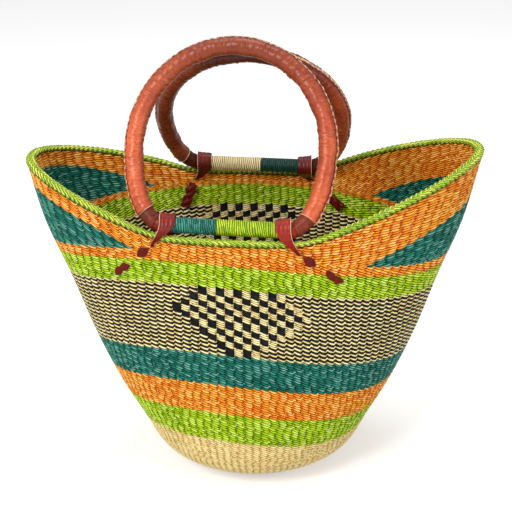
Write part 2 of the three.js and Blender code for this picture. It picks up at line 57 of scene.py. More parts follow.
# The dyed bands from below: node, slot, top at the middle of the front, and count of rows
NATURAL_TOP = 52.0
CHECKER_TOP = 188.5
ORANGE_UPPER_TOP = 217.0
BANDS = {
    "natural": ("natural_band", "natural_grass", NATURAL_TOP, 34),
    "lime_lower": ("lime_band_lower", "lime_grass", 77.0, 12),
    "orange_lower": ("orange_band_lower", "orange_grass", 102.5, 12),
    "teal": ("teal_band", "teal_grass", 129.5, 13),
    "checker": ("checker_band", "checker_grass", CHECKER_TOP, 33),
    "lime_upper": ("lime_band_upper", "lime_grass", 208.0, 9),
    "orange_upper": ("orange_band_upper", "orange_grass", ORANGE_UPPER_TOP, 4),
}

# How far the rows fall to the right, sag at the wings, fall more at the front and rise at the back
RIM_LOW = 224.0
DOWNHILL = 6.5
SAG = 14.5
FRONT_FALL = 13.0
SETTLE_HEIGHT = 60.0
BACK_RISE = 9.0
BACK_RISE_FADE = 17.0

# The mouth
LEVEL_HALF = 63.0
LEVEL_CENTRE_FRONT = -17.0
LEVEL_CENTRE_BACK = -4.0
WING_HALF = 195.0
WING_RISE_LEFT = 39.0
WING_RISE_RIGHT = 57.0
CORNER = 8.0
WING_CURVE_FRONT = 1.12
WING_CURVE_BACK = 0.85
WALL_STEPS = 56  # flats round the solid wall: the teal wedges end on the edge of one
GORE_POINT = math.cos(9 * 2 * math.pi / WALL_STEPS)
GORE_POINT_BACK_RIGHT = math.cos(8 * 2 * math.pi / WALL_STEPS)
GORE_HEIGHT = 48.0

# The weave
RIBS = 108
RIB_WIDTH = 7.0
FRONT_MIDDLE = 1.1  # rib count from the checker's middle to the middle of the front
CHECKER_MIDDLES = (0, 56)  # ribs at the front and at the back
ROW = 2.15
RIB_RELIEF = 0.4
INNER_RIB_RELIEF = 0.95
ROW_RELIEF = 0.6
SLANT = 2.1  # a strand drops this far as it crosses a rib
RIB_SAMPLES = np.array([0, 0.1, 0.34, 0.64, 0.92])
WALL_TUCK = 1.8  # the top rows run up under the plait
OUTER_SAMPLES = np.array([0, 0.3, 0.7])
INNER_SAMPLES = np.array([0, 0.5])
FOOT_FADE = 12.0  # the relief grows over this height at the foot of the wall
LEVEL_FOOT = 20.0  # and the rows, which start level, come to their own lines over this one
BASE_ROWS = 27

# The hoops
SIDES = ("front", "back")
ENDS = {"left": -1, "right": 1}
HOOP_HALF_WIDTH = 78.0
HOOP_HEIGHT = 149.0
HOOP_WIDEST = 65.0
BAR_HALF = 50.0
CORE_RADIUS = 4.6
THREAD_RADIUS = 6.5
BINDING_RADIUS = 6.7
COLLAR_RADIUS = 7.5
SLEEVE_RADIUS = 7.5
THREAD_END = 43.0
THREAD_PITCH = 1.8
STRAP_PITCH = 5.0
STITCH_PITCH = 5.2
BINDING_END = 56.0
COLLAR_END = 69.0
SEAM = 0.3
BRAID_HALF_HEIGHT = 2.9
BRAID_SEAT = 1.24
HOOP_X = {"front": -20.5, "back": -1.5}
BAR_DEPTH = {"front": 84.0, "back": 85.0}
BAR_ABOVE_RIM = {"front": 13.2, "back": 14.7}
BAR_SKEW = {"front": math.radians(4), "back": math.radians(2.6)}
FRONT_LEAN = math.radians(28.1)
THREADS = {"front": ("teal_thread", "lime_thread"), "back": ("natural_thread", "dark_teal_thread")}
THREAD_SPLIT = {"front": -7.0, "back": 6.0}
# How far painted shade darkens the leather: at the right, at the left and at the top of the arch
SHADE_SHARE = {"front": (0.0, 0.0, 0.68), "back": (0.3, 0.75, 0.95)}
FACING = {"front": -1, "back": 1}
BAR_TILT = math.atan2(DOWNHILL, WING_HALF)

# The leather at the ends of a bar: node, slot, start, end, radius, pitch of the winding, seed and rings
STRAPS = {
    "binding": ("bar_binding", "red_leather", THREAD_END, BINDING_END, BINDING_RADIUS, STRAP_PITCH, 20, 70),
    "collar": ("hoop_collar", "collar_leather", BINDING_END, COLLAR_END, COLLAR_RADIUS - 0.6,
               2 * STRAP_PITCH, 30, 80),
}

# The lashings
LASH_AT = 46.5
LASH_WIDTH_FOOT = 2.6
FLAP_IN = 6.6  # how far the strap reaches from its middle at the bar, towards the bar's middle and its end
FLAP_OUT = 5.6
LASH_SLACK = 1.1
LASH_THICK = 1.8
LASH_FOOT_RADIUS = 6.5
LASH_SPLAY = 13.0
LASH_FOOT_DEPTH = 4.2
# Stitches below a lashing: how far out and down, the places of the lobes in lengths, and a lobe's size
STITCHES = {"leaf": (8, 5.5, (0.0,), 13, 8), "twist": (27, 21.5, (-0.31, 0.31), 12, 6.6)}


# ---- camera, light and stage

def new_object(name, data):
    thing = bpy.data.objects.new(name, data)
    bpy.context.scene.collection.objects.link(thing)
    return thing


def place_camera():
    """Camera at the photograph's place: a distance, a turn, a climb and a slight roll about a target."""
    distance, turn, climb, roll = 1100.0, math.radians(1.72), math.radians(21.24), math.radians(-0.79)
    target = Vector((1.09, 0, 180.88))
    sensor, focal_pixels, picture_pixels = 36, 1255.1, 512
    data = bpy.data.cameras.new("camera")
    data.sensor_width = sensor
    data.lens = focal_pixels * sensor / picture_pixels
    camera = new_object("camera", data)
    camera.matrix_world = (Matrix.Translation(target * MM) @ Matrix.Rotation(turn, 4, "Z")
                           @ Matrix.Rotation(math.pi / 2 - climb, 4, "X") @ Matrix.Rotation(roll, 4, "Z")
                           @ Matrix.Translation((0, 0, distance * MM)))
    bpy.context.scene.camera = camera


def soft_lamp(name, place, aim, size, power):
    data = bpy.data.lights.new(name, "AREA")
    data.shape = "SQUARE"
    data.size = size
    data.energy = power
    lamp = new_object(name, data)
    lamp.location = place
    lamp.rotation_euler = (Vector(aim) - Vector(place)).to_track_quat("-Z", "Y").to_euler()


def light_stage():
    """Three soft lamps, and a white surround that lights less than it shows."""
    soft_lamp("key", (-1.1, -1.7, 1.7), (0, 0, 0.15), 0.9, 38)
    soft_lamp("fill", (1.7, -1.4, 1.0), (0, 0, 0.15), 1.3, 14)
    soft_lamp("top", (0.1, 0.5, 2.2), (0, 0, 0.1), 1.2, 16)
    world = bpy.data.worlds.new("studio")
    bpy.context.scene.world = world
    world.use_nodes = True
    n = Nodes(world.node_tree)
    strength = n.add("ShaderNodeMapRange", {"Value": n.seen(), "To Min": 0.42, "To Max": 1.0})
    n.fill(world.node_tree.nodes["Background"], {"Color": (1, 1, 1, 1), "Strength": strength})
    bpy.context.scene.view_settings.view_transform = "Standard"


def add_floor():
    """A wide pale floor at the height that the basket stands on."""
    half = 6.0
    corners = [(-half, -half, 0), (half, -half, 0), (half, half, 0), (-half, half, 0)]
    mesh = bpy.data.meshes.new("floor")
    mesh.from_pydata(corners, [], [(0, 1, 2, 3)])
    material, n, shader = new_material("pale_floor")
    n.fill(shader, {"Base Color": (0.8, 0.8, 0.8, 1), "Roughness": 0.9, "Specular IOR Level": 0,
                    "Emission Color": (1, 1, 1, 1), "Emission Strength": n.times(n.seen(), 0.45)})
    mesh.materials.append(material)
    new_object("floor", mesh)


# ---- the wall as a surface

def level(values, z):
    """A smooth curve through the levels: cubic pieces whose slopes are those of the neighbouring levels."""
    last = len(LEVEL_HEIGHT) - 1
    k = np.clip(np.searchsorted(LEVEL_HEIGHT, z, side="right") - 1, 0, last - 1)

    def slope(i):
        a, b = np.maximum(i - 1, 0), np.minimum(i + 1, last)
        return (values[b] - values[a]) / (LEVEL_HEIGHT[b] - LEVEL_HEIGHT[a])

    span = LEVEL_HEIGHT[k + 1] - LEVEL_HEIGHT[k]
    t = (z - LEVEL_HEIGHT[k]) / span
    rise = 3 * t**2 - 2 * t**3
    bend = slope(k) * (t**3 - 2 * t**2 + t) + slope(k + 1) * (t**3 - t**2)
    return values[k] * (1 - rise) + values[k + 1] * rise + span * bend


def outside(angle, z):
    """The wall's outside: x is half width times cosine, y is half depth times sine to the power of fullness."""
    angle, z = np.broadcast_arrays(np.asarray(angle, float), np.asarray(z, float))
    s = np.sin(angle)
    x = level(HALF_WIDTH, z) * np.cos(angle)
    y = level(HALF_DEPTH, z) * np.sign(s) * np.abs(s) ** level(FULLNESS, z)
    return np.stack([x, y, z], -1)


def run_along(line):
    """The length along a line of points up to each of them."""
    return np.concatenate([[0], np.cumsum(np.linalg.norm(np.diff(line, axis=0), axis=1))])


def points_at(distance, run, line):
    """Points on a line at distances along it, where run is the length up to each of its own points."""
    return np.stack([np.interp(distance, run, values) for values in line.T], -1)


def unit(vectors):
    return vectors / np.maximum(np.linalg.norm(vectors, axis=-1, keepdims=True), 1e-12)


def outward(angle, z):
    """The wall's outward direction: the cross product of its run round and its run up."""
    step = 0.03
    round_about = outside(angle + step, z) - outside(angle - step, z)
    up = outside(angle, z + 1) - outside(angle, np.maximum(z - 1, 0))
    across = unit(np.cross(round_about, up))
    return np.where((np.asarray(z) <= 0)[..., None], np.array([0, 0, -1.0]), across)


def in_wall(angle, z, depth):
    """A point below the outside by a depth: 0 is outside and WALL is inside."""
    return outside(angle, z) - outward(angle, z) * np.asarray(depth)[..., None]


def row_height(row, angle):
    """Height of a row of weave: it falls to the right, sags at the wings and rises at the back."""
    c = np.cos(angle)
    settle = 1 - np.exp(-row / SETTLE_HEIGHT)
    back = np.maximum(0, np.sin(angle))
    front = np.maximum(0, -np.sin(angle))
    fall = DOWNHILL * c + SAG * c * c + FRONT_FALL * c * front * front
    rise = BACK_RISE * np.minimum(1, row / CHECKER_TOP) * np.minimum(1, (RIM_LOW - row) / BACK_RISE_FADE)
    return row - settle * fall + rise * back


def wall_top(angle):
    """Top of the weave: level between the lashings, then two straight wings with a soft bend between."""
    c = np.cos(angle)
    turn = (1 + np.sin(angle)) / 2
    centre = LEVEL_CENTRE_FRONT + (LEVEL_CENTRE_BACK - LEVEL_CENTRE_FRONT) * turn

    def bend(past):
        return (np.hypot(past, CORNER) + past) / 2

    past = np.abs(WING_HALF * c - centre) - LEVEL_HALF
    end = WING_HALF - np.sign(c) * centre - LEVEL_HALF
    rise = np.where(c > 0, WING_RISE_RIGHT, WING_RISE_LEFT)
    curve = WING_CURVE_FRONT + (WING_CURVE_BACK - WING_CURVE_FRONT) * turn
    return RIM_LOW - DOWNHILL * c + rise * (bend(past) / bend(end)) ** curve


def rim_band_foot(angle):
    """Lower edge of the orange rim band, which climbs over the teal wedges at the wings."""
    back_right = (np.sin(angle) > 0) & (np.cos(angle) > 0)
    point = np.where(back_right, GORE_POINT_BACK_RIGHT, GORE_POINT)
    past = (np.abs(np.cos(angle)) - point) / (1 - point)
    return row_height(ORANGE_UPPER_TOP, angle) + GORE_HEIGHT * np.maximum(0, past)


def rib_angle(u, nominal):
    """Angle of rib position u at a nominal height.

    Ribs keep their width at the middle of the front and the back and spread towards the wings as the wall
    grows: of a quarter's length, share t of its ribs takes even t + (1 - even) t cubed.
    """
    quarter = np.linspace(0, np.pi / 2, 400)
    run = run_along(outside(quarter - np.pi / 2, nominal)[:, :2])
    even = min(1.05, RIB_WIDTH * RIBS / 4 / run[-1])
    w = np.mod((np.asarray(u, float) - FRONT_MIDDLE) / (RIBS / 4), 4)
    fold = np.mod(w, 2)
    t = np.where(fold <= 1, fold, 2 - fold)
    bend = np.interp((even * t + (1 - even) * t**3) * run[-1], run, quarter)
    turned = np.select([w <= 1, w <= 2, w <= 3], [bend, np.pi - bend, np.pi + bend], 2 * np.pi - bend)
    return turned - np.pi / 2


def rib_columns(first, last):
    """Positions round the wall from one rib boundary to another: a groove, then four places on each rib."""
    return (np.arange(first, last)[:, None] + RIB_SAMPLES).ravel()


def stepped(line, u, nominal):
    """Height of a row line: it drops as it comes over a rib, levels out and steps up again in the groove.

    The drop is the square of the way left to the rib's end, less a third, so that it comes to nothing.
    """
    across = u - np.floor(u)
    drop = np.where(across < 0.01, 1 / 6, (1 - across) ** 2 - 1 / 3)
    return line(rib_angle(u, nominal)) + SLANT * drop


def relief(u, v, rib_relief=RIB_RELIEF):
    """How far the weave stands out from the plain wall.

    A rib is one less the fourth power of the distance from its middle. A strand is the sine of the way across
    its row, to the power 0.6, and is lowest in the grooves.
    """
    rib, row = np.floor(u), np.floor(v)
    across = u - rib
    hand = 0.12 * np.sin(2.4 * rib + 1.7 * row) + 0.1 * np.sin(5.1 * rib)
    ridge = (1 - (2 * across - 1) ** 4) * (1 + hand)
    strand = np.sin(np.pi * (v - row)) ** 0.6 - 0.5
    return rib_relief * (ridge - 0.6) + ROW_RELIEF * strand * (0.35 + 0.65 * np.sin(np.pi * across**0.8))


def bell(x, width):
    """1 at 0 and falling away to both sides: the exponential of less the square of x over width."""
    return np.exp(-((x / width) ** 2))


# ---- meshes

def surface(name, points, uv, around=True, along=True, merge=False):
    """A mesh from a grid of points [row, column], in millimetres.

    around joins the last column to the first, and along the last row to the first. uv has one more column
    or row where the grid is joined. merge closes places where several points of the grid are one.
    """
    rows, columns = points.shape[:2]
    r, c = np.indices((rows if along else rows - 1, columns if around else columns - 1))
    steps = [(0, 0), (0, 1), (1, 1), (1, 0)]
    faces = np.stack([((r + i) % rows) * columns + (c + j) % columns for i, j in steps], -1).reshape(-1, 4)
    corners = np.stack([uv[r + i, c + j] for i, j in steps], -2).reshape(-1, 4, 2)
    flat = points.reshape(-1, 3)
    first, second, third, fourth = (flat[faces[:, k]] for k in range(4))
    if np.sum(first * (np.cross(second, third) + np.cross(third, fourth))) < 0:  # the solid is inside out
        faces, corners = faces[:, ::-1], corners[:, ::-1]
    mesh = bpy.data.meshes.new(name)
    mesh.from_pydata((flat * MM).tolist(), [], faces.tolist())
    layer = mesh.uv_layers.new(name="lay")
    layer.data.foreach_set("uv", corners.reshape(-1).astype(np.float32))
    if merge:
        work = bmesh.new()
        work.from_mesh(mesh)
        bmesh.ops.remove_doubles(work, verts=work.verts, dist=2e-6)
        bmesh.ops.dissolve_degenerate(work, edges=work.edges, dist=1e-7)
        work.to_mesh(mesh)
        work.free()
    mesh.polygons.foreach_set("use_smooth", np.ones(len(mesh.polygons), bool))
    mesh.update()
    return new_object(name, mesh)


def finish_piece(piece, slot, *nodes, body="basket", material=None):
    """Gives a piece its material, which has the slot's name unless another is given, hides the nodes it stands
    in for, and puts it on its body.
    """
    piece.data.materials.append(MATERIALS[material or slot])
    if nodes:
        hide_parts(*nodes)
    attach(piece, body)
    return piece


def uv_grid(u, v):
    """Pairs of u and v at each point of a grid: u runs along its rows, and v up them where it is one list."""
    return np.stack(np.broadcast_arrays(u, np.reshape(v, (len(v), -1))), -1).astype(float)


def turns_round(count):
    return 2 * np.pi * np.arange(count) / count


def rings_about(centre, side, up, wide, thick, turn, dent=1.0):
    """Rings round a line: side times wide and the cosine of turn, and up times thick, the sine and a dent."""
    side, up = np.atleast_2d(side)[:, None], np.atleast_2d(up)[:, None]
    return (centre[:, None] + side * (wide[:, None] * np.cos(turn))[..., None]
            + up * (thick[:, None] * (np.sin(turn) * dent))[..., None])


def tube(centre, radius, sides=6, flatten=1.0, hint=(0, 0, 1.0)):
    """Rings round a line that never runs along the hint, so that they don't twist, with closed ends."""
    along = unit(np.gradient(centre, axis=0))
    side = unit(np.cross(along, hint))
    up = np.cross(side, along)
    radius = np.broadcast_to(radius, len(centre))
    points = rings_about(centre, side, up, radius, radius * flatten, turns_round(sides))
    points[0], points[-1] = centre[0], centre[-1]
    return points


def add_cord(name, points, turns, run, slot, *nodes, **more):
    """A piece with closed ends from rings of points. Its map goes to turns round it, and is run along it."""
    uv = uv_grid(np.linspace(0, turns, points.shape[1] + 1), run)
    return finish_piece(surface(name, points, uv, along=False, merge=True), slot, *nodes, **more)


def face_lay(piece):
    """The map at the four corners of each face."""
    mesh = piece.data
    uv = np.empty(len(mesh.loops) * 2, np.float32)
    mesh.uv_layers["lay"].data.foreach_get("uv", uv)
    return uv.reshape(-1, 4, 2)


def mark_faces(piece, name, values):
    attribute = piece.data.attributes.new(name, "FLOAT", "FACE")
    attribute.data.foreach_set("value", values.astype(np.float32))


# ---- shaders

class Nodes:
    """Short calls for building a node tree. Each returns the new node's first output, or the named one."""

    def __init__(self, tree):
        self.tree = tree

    def add(self, kind, inputs=None, output=0, **settings):
        node = self.tree.nodes.new(kind)
        for key, value in settings.items():
            setattr(node, key, value)
        self.fill(node, inputs or {})
        return node.outputs[output]

    def fill(self, node, inputs):
        for key, value in inputs.items():
            self.put(node.inputs[key], value)

    def put(self, socket, value):
        if isinstance(value, bpy.types.NodeSocket):
            self.tree.links.new(value, socket)
        elif value is not None:
            socket.default_value = value

    def math(self, operation, a, b=None, c=None, clamp=False):
        return self.add("ShaderNodeMath", {0: a, 1: b, 2: c}, operation=operation, use_clamp=clamp)

    def times(self, first, *others):
        for other in others:
            first = self.math("MULTIPLY", first, other)
        return first

    def weigh(self, *parts, less=0, clamp=False):
        """The sum of values times their weights, less a constant."""
        total = -less
        for number, (value, weight) in enumerate(parts, 1):
            total = self.math("MULTIPLY_ADD", value, weight, total, clamp and number == len(parts))
        return total

    def apart(self, a, b):
        return self.math("ABSOLUTE", self.math("SUBTRACT", a, b))

    def mix(self, share, a, b):
        return self.add("ShaderNodeMix", {0: share, 6: a, 7: b}, output=2, data_type="RGBA")

    def ramp(self, value, low, high, to_low=0, to_high=1):
        """A smooth step from one value to another as the input goes from low to high."""
        inputs = {"Value": value, "From Min": low, "From Max": high, "To Min": to_low, "To Max": to_high}
        return self.add("ShaderNodeMapRange", inputs, interpolation_type="SMOOTHSTEP")

    def noise(self, vector, scale, detail, rough):
        inputs = {"Vector": vector, "Scale": scale, "Detail": detail, "Roughness": rough}
        return self.add("ShaderNodeTexNoise", inputs)

    def drawn_out(self, u, v, z, detail, rough):
        """Noise over the piece's own map, where u and v are each a coordinate and its pace."""
        vector = self.add("ShaderNodeCombineXYZ", {0: self.times(*u), 1: self.times(*v), 2: z})
        return self.noise(vector, 1, detail, rough)

    def chance(self, u, v, z=0):
        """A value for each whole number of u and v."""
        inputs = {0: self.math("FLOOR", u), 1: self.math("FLOOR", v), 2: z}
        return self.add("ShaderNodeTexWhiteNoise", {"Vector": self.add("ShaderNodeCombineXYZ", inputs)})

    def lay(self):
        """The two coordinates of the piece's own map."""
        split = self.tree.nodes.new("ShaderNodeSeparateXYZ")
        self.put(split.inputs[0], self.add("ShaderNodeUVMap", uv_map="lay"))
        return split.outputs[0], split.outputs[1]

    def attribute(self, name):
        return self.add("ShaderNodeAttribute", attribute_name=name, output=2)

    def seen(self):
        """1 for what the camera sees itself, and 0 for light."""
        return self.add("ShaderNodeLightPath", output="Is Camera Ray")


def new_group(name, colours, values):
    """A shader group with named inputs that gives a colour, a roughness and a height."""
    tree = bpy.data.node_groups.new(name, "ShaderNodeTree")
    for way, kind, labels in (("INPUT", "Color", colours), ("INPUT", "Float", values),
                              ("OUTPUT", "Color", "Color"), ("OUTPUT", "Float", "Roughness Height")):
        for label in labels.split():
            tree.interface.new_socket(label, in_out=way, socket_type=f"NodeSocket{kind}")
    entry, leave = tree.nodes.new("NodeGroupInput"), tree.nodes.new("NodeGroupOutput")
    return tree, Nodes(tree), entry.outputs, leave


def woven_grass_group():
    """Strands crossing ribs. A strand is a lens one rib wide, thin where it leaves the groove on its left.

    It is deep in tone there with painted shade and brightens to the right with a painted highlight, is lighter
    above with painted light, and darker below with painted shade, where the next row tucks under it. Painted
    shade fills the gaps between rows. Each has its own tone, some have a pale painted glint along them, fibres
    run along all of them, and the dye is uneven over a hand's width.
    """
    tree, n, given, out = new_group("woven grass", "Light Deep Gap Glint", "Glints")
    u, v = n.lay()
    shift = n.chance(v, n.times(u, 0.34), 3)
    u = n.math("ADD", u, n.weigh((shift, 0.6), less=0.3))
    across, up = n.math("FRACT", u), n.math("FRACT", v)
    chance, other = n.chance(u, v), n.chance(v, u, 7)
    fibres = n.drawn_out((u, 1.6), (v, 3.5), n.times(chance, 30), 3, 0.6)
    cloud = n.drawn_out((u, 0.16), (v, 0.1), 5, 3, 0.55)
    left, right = n.ramp(across, 0, 0.36, 0.5, 1), n.ramp(across, 0.86, 1, 1, 0.7)
    swell = n.times(left, right, n.ramp(other, 0, 1, 0.74, 1))
    # Painted shade in the gaps between rows, wider at the thin ends of a strand
    gap_shade = n.ramp(n.math("SUBTRACT", n.apart(n.times(up, 2), 1.15), swell), -0.34, 0.1)
    # Painted light and shade: lighter towards the top of a row and to the right of a strand, darker in the
    # groove on its left
    lit, crest = n.ramp(up, 0.1, 0.7), n.ramp(across, 0.05, 0.6)
    tone = n.weigh((lit, 0.34), (chance, 0.42), (crest, 0.4), (fibres, 1.4), (cloud, 1.1),
                   less=1.363, clamp=True)
    colour = n.mix(tone, given["Deep"], given["Light"])
    # Painted highlight: a pale glint along some strands
    streak = n.times(n.ramp(n.apart(up, 0.62), 0.06, 0.28, 1, 0), n.ramp(across, 0.8, 1, 1, 0.3))
    glint = n.times(streak, swell, crest, n.ramp(other, 0.3, 0.9), given["Glints"])
    colour = n.mix(glint, colour, given["Glint"])
    n.fill(out, {"Color": n.mix(gap_shade, colour, given["Gap"]), "Roughness": n.ramp(fibres, 0.3, 0.7, 0.62, 0.42),
                 "Height": n.math("ADD", n.times(fibres, 0.4), n.math("SUBTRACT", 1, gap_shade))})
    return tree


def bound_group():
    """Fibres along a strand or thread: the first coordinate counts strands or turns, the second runs along.

    Cell times the second coordinate counts the lengths that have a tone of their own. The third colour is
    painted shade at the edges of each strand or turn, and the last number lays painted shade on a plaited
    strand where it runs under the others, in the second half of each length.
    """
    tree, n, given, out = new_group("bound strands", "Light Deep Gap", "Stretch Cell Dip")
    u, v = n.lay()
    chance = n.chance(u, n.times(v, given["Cell"]))
    fibres = n.drawn_out((u, 3.5), (v, given["Stretch"]), chance, 3, 0.6)
    tone = n.weigh((fibres, 1.7), (chance, 0.7), less=0.7, clamp=True)
    part = n.math("FRACT", u)
    # Painted shade at the edges of each strand or turn, and on a plaited strand where it runs under the others
    edge = n.math("MINIMUM", part, n.math("SUBTRACT", 1, part))
    under = n.ramp(n.math("SINE", n.times(v, 2 * math.pi)), -0.8, 0.3, 1, 0)
    gap_shade = n.math("MAXIMUM", n.ramp(edge, 0.04, 0.3, 1, 0), n.times(under, given["Dip"]))
    colour = n.mix(gap_shade, n.mix(tone, given["Deep"], given["Light"]), given["Gap"])
    n.fill(out, {"Color": colour, "Roughness": n.ramp(fibres, 0.3, 0.7, 0.6, 0.38), "Height": fibres})
    return tree


def creased_leather_group():
    """Leather: patches of tone, soft folds along the hoop, ripples across it, painted shade in creases and a
    fine grain.

    The first coordinate of its map is the way round a hoop, from its outer edge, and the second runs along it.
    The first number tells how far painted shade darkens the leather, towards the third colour. Where Seam is 1,
    a pale cut edge stands at the outer edge of the hoop with a line of painted shade along its foot, and
    painted shade darkens the inner side of the hoop.
    """
    tree, n, given, out = new_group("creased leather", "Light Deep Crack Cut", "Held Seam")
    u, v = n.lay()
    place = n.add("ShaderNodeTexCoord", output="Object")
    patches, broad = n.noise(place, 55, 3, 0.55), n.noise(place, 13, 1, 0.5)
    grain = n.noise(place, 520, 3, 0.6)
    folds = n.drawn_out((u, 1.5), (v, 0.06), 3, 2, 0.5)
    ripples = n.drawn_out((u, 0.7), (v, 0.42), 9, 3, 0.55)
    # Painted shade in the creases: thin lines along the middle of the ripples, in some of the patches
    crease = n.times(n.ramp(n.apart(ripples, 0.47), 0, 0.03, 1, 0), n.ramp(patches, 0.42, 0.62))
    tone = n.weigh((patches, 1.1), (folds, 0.7), (ripples, 0.45), (broad, 1.3), (grain, 0.2),
                   less=1.37, clamp=True)
    off = n.math("MINIMUM", u, n.math("SUBTRACT", 2 * math.pi, u))
    # Painted shade on the inner side of a seamed hoop, growing away from its outer edge
    inner = n.times(n.ramp(off, 1.7, math.pi, 0, 0.5), given["Seam"])
    scallop = n.times(n.math("SINE", n.times(v, 2 * math.pi / STITCH_PITCH)), 0.05)
    # Painted shade in a scalloped line along the foot of the seam's lip
    line = n.apart(n.math("ADD", off, scallop), 0.27)
    colour = n.mix(tone, given["Deep"], given["Light"])
    # The painted shade is laid on towards the shade colour: in the creases, as far as the share of shade asks
    # or on a seamed hoop's inner side, and along the foot of the seam's lip
    for share in (n.times(crease, 0.3), n.math("MAXIMUM", n.times(given["Held"], 0.9), inner),
                  n.times(n.ramp(line, 0.03, 0.1, 0.85, 0), given["Seam"])):
        colour = n.mix(share, colour, given["Crack"])
    cut = n.times(n.ramp(off, 0.1, 0.18, 1, 0), given["Seam"])
    n.fill(out, {"Color": n.mix(cut, colour, given["Cut"]),
                 "Roughness": n.math("ADD", n.ramp(patches, 0.3, 0.7, 0.46, 0.32), n.times(cut, 0.3)),
                 "Height": n.weigh((grain, 0.3), (ripples, 3.6), (folds, 1.2), (crease, -0.8))})
    return tree


def linear(*colour):
    """A colour given in display values from 0 to 255, as the shader's linear values."""
    def one(value):
        return value / 12.92 if value <= 0.04045 else ((value + 0.055) / 1.055) ** 2.4
    return (*[one(value / 255) for value in colour], 1)


def use_group(n, tree, *values):
    """A group's outputs. Its inputs are given in order, a colour as three display values from 0 to 255.

    A name stands for the attribute of that name.
    """
    node = n.tree.nodes.new("ShaderNodeGroup")
    node.node_tree = tree
    for socket, value in zip(node.inputs, values):
        value = n.attribute(value) if isinstance(value, str) else value
        n.put(socket, linear(*value) if isinstance(value, tuple) else value)
    return node.outputs


def new_material(name):
    material = bpy.data.materials.new(name)
    material.use_nodes = True
    return material, Nodes(material.node_tree), material.node_tree.nodes["Principled BSDF"]


def group_material(name, tree, look, raised, specular, **more):
    """A material from a group, with its bumps raised by millimetres, and what it needs for changing it."""
    material, n, shader = new_material(name)
    out = use_group(n, tree, *look)
    bump = n.add("ShaderNodeBump", {"Height": out["Height"], "Distance": raised * MM, "Strength": 1})
    n.fill(shader, {"Base Color": out["Color"], "Roughness": out["Roughness"], "Normal": bump,
                    "Specular IOR Level": specular})
    n.fill(shader, more)
    return material, n, shader, out


# Light, deep, the painted shade in the gaps and the painted glint, and how strong the glints are
GRASSES = {
    "natural_grass": ((255, 234, 162), (234, 196, 118), (162, 112, 54), (255, 244, 200), 0.4),
    "lime_grass": ((194, 228, 18), (118, 164, 0), (38, 64, 0), (244, 250, 150), 0.85),
    "orange_grass": ((255, 174, 48), (236, 98, 6), (146, 34, 0), (255, 232, 140), 0.9),
    "teal_grass": ((34, 134, 114), (0, 74, 64), (0, 22, 20), (170, 222, 204), 0.6),
    "checker_grass": ((255, 242, 176), (232, 198, 118), (92, 70, 36), (255, 250, 214), 0.6),
}
BLACK_GRASS = ((32, 32, 36), (12, 12, 14), (5, 5, 6), (84, 80, 72), 0.3)

# Light, deep and the painted shade in the gaps, then the stretch of the fibres, the cell and the share of
# painted shade where a strand runs under
BRAID = ((248, 255, 104), (138, 190, 6), (24, 44, 0), 2.2, 1, 0.9)
# Light, deep and the painted shade in the gaps, then the stretch of the fibres
BOUND = {
    "teal_thread": ((70, 172, 152), (6, 72, 64), (0, 16, 14), 0.8),
    "lime_thread": ((222, 244, 52), (112, 164, 0), (28, 48, 0), 0.8),
    "natural_thread": ((255, 246, 196), (236, 206, 140), (88, 64, 30), 0.8),
    "dark_teal_thread": ((28, 92, 78), (4, 42, 36), (0, 14, 12), 0.8),
    "seam_thread": ((176, 92, 58), (128, 60, 36), (80, 30, 18), 0.8),
    "cut_edge": ((244, 216, 178), (214, 164, 124), (150, 96, 66), 0.4),
}

# Light, deep and the colour of painted shade, then whether there is a seam, which brings painted shade to the
# inner side too, the specular level and the coat
LEATHERS = {
    "hoop_leather": ((238, 114, 64), (158, 48, 20), (54, 6, 2), 1, 0.15, 0.6),
    "red_leather": ((176, 42, 22), (96, 14, 5), (44, 4, 2), 0, 0.15, 0.3),
    "collar_leather": ((142, 58, 40), (88, 28, 17), (44, 10, 6), 0, 0.15, 0.18),
    "dark_leather": ((126, 28, 16), (68, 9, 4), (30, 2, 0), 0, 0.08, 0.14),
}
CUT = (250, 190, 148)


def make_materials():
    weave, bound, leather = woven_grass_group(), bound_group(), creased_leather_group()
    made = {}
    for name, look in GRASSES.items():
        made[name], n, shader, out = group_material(name, weave, look, 0.35, 0.12)
        if name == "checker_grass":
            black = use_group(n, weave, *BLACK_GRASS)["Color"]
            n.put(shader.inputs["Base Color"], n.mix(n.attribute("dye"), out["Color"], black))
    made["braid_grass"] = group_material("braid_grass", bound, BRAID, 0.3, 0.3)[0]
    for name, look in BOUND.items():
        made[name] = group_material(name, bound, (*look, 0.2, 0), 0.2, 0.3)[0]
    for name, (*tones, seam, specular, coat) in LEATHERS.items():
        # The attribute named here gives each piece's share of painted shade
        made[name] = group_material(name, leather, (*tones, CUT, "held", seam), 0.35, specular,
                                    **{"Coat Weight": coat, "Coat Roughness": 0.33})[0]
    return made


# ---- the woven wall

def row_samples(count, samples):
    """Places up a band of a count of rows: the gap below each row, then the places on it, then the top."""
    return np.append((np.arange(count)[:, None] + samples).ravel(), count)


def woven_ring(name, columns, places, closed=True, merge=False):
    """A closed woven solid from a function that gives, for places up it, angles, heights and row counts.

    Its section runs up the outside with the weave standing out, and down the inside with it standing in.
    """
    sides = []
    for samples, inner in ((OUTER_SAMPLES, False), (INNER_SAMPLES, True)):
        angle, z, v = places(samples)
        stand = relief(columns, v, INNER_RIB_RELIEF if inner else RIB_RELIEF) * np.clip(z / FOOT_FADE, 0, 1)
        points, uv = in_wall(angle, z, WALL + stand if inner else -stand), uv_grid(columns, v)
        sides.append((points[::-1], uv[::-1]) if inner else (points, uv))
    points, uv = (np.concatenate(parts) for parts in zip(*sides))
    uv = np.concatenate([uv, uv[:1]])
    if closed:
        uv = np.concatenate([uv, uv[:, :1] + np.array([RIBS, 0])], axis=1)
    return surface(name, points, uv, around=closed, merge=merge)


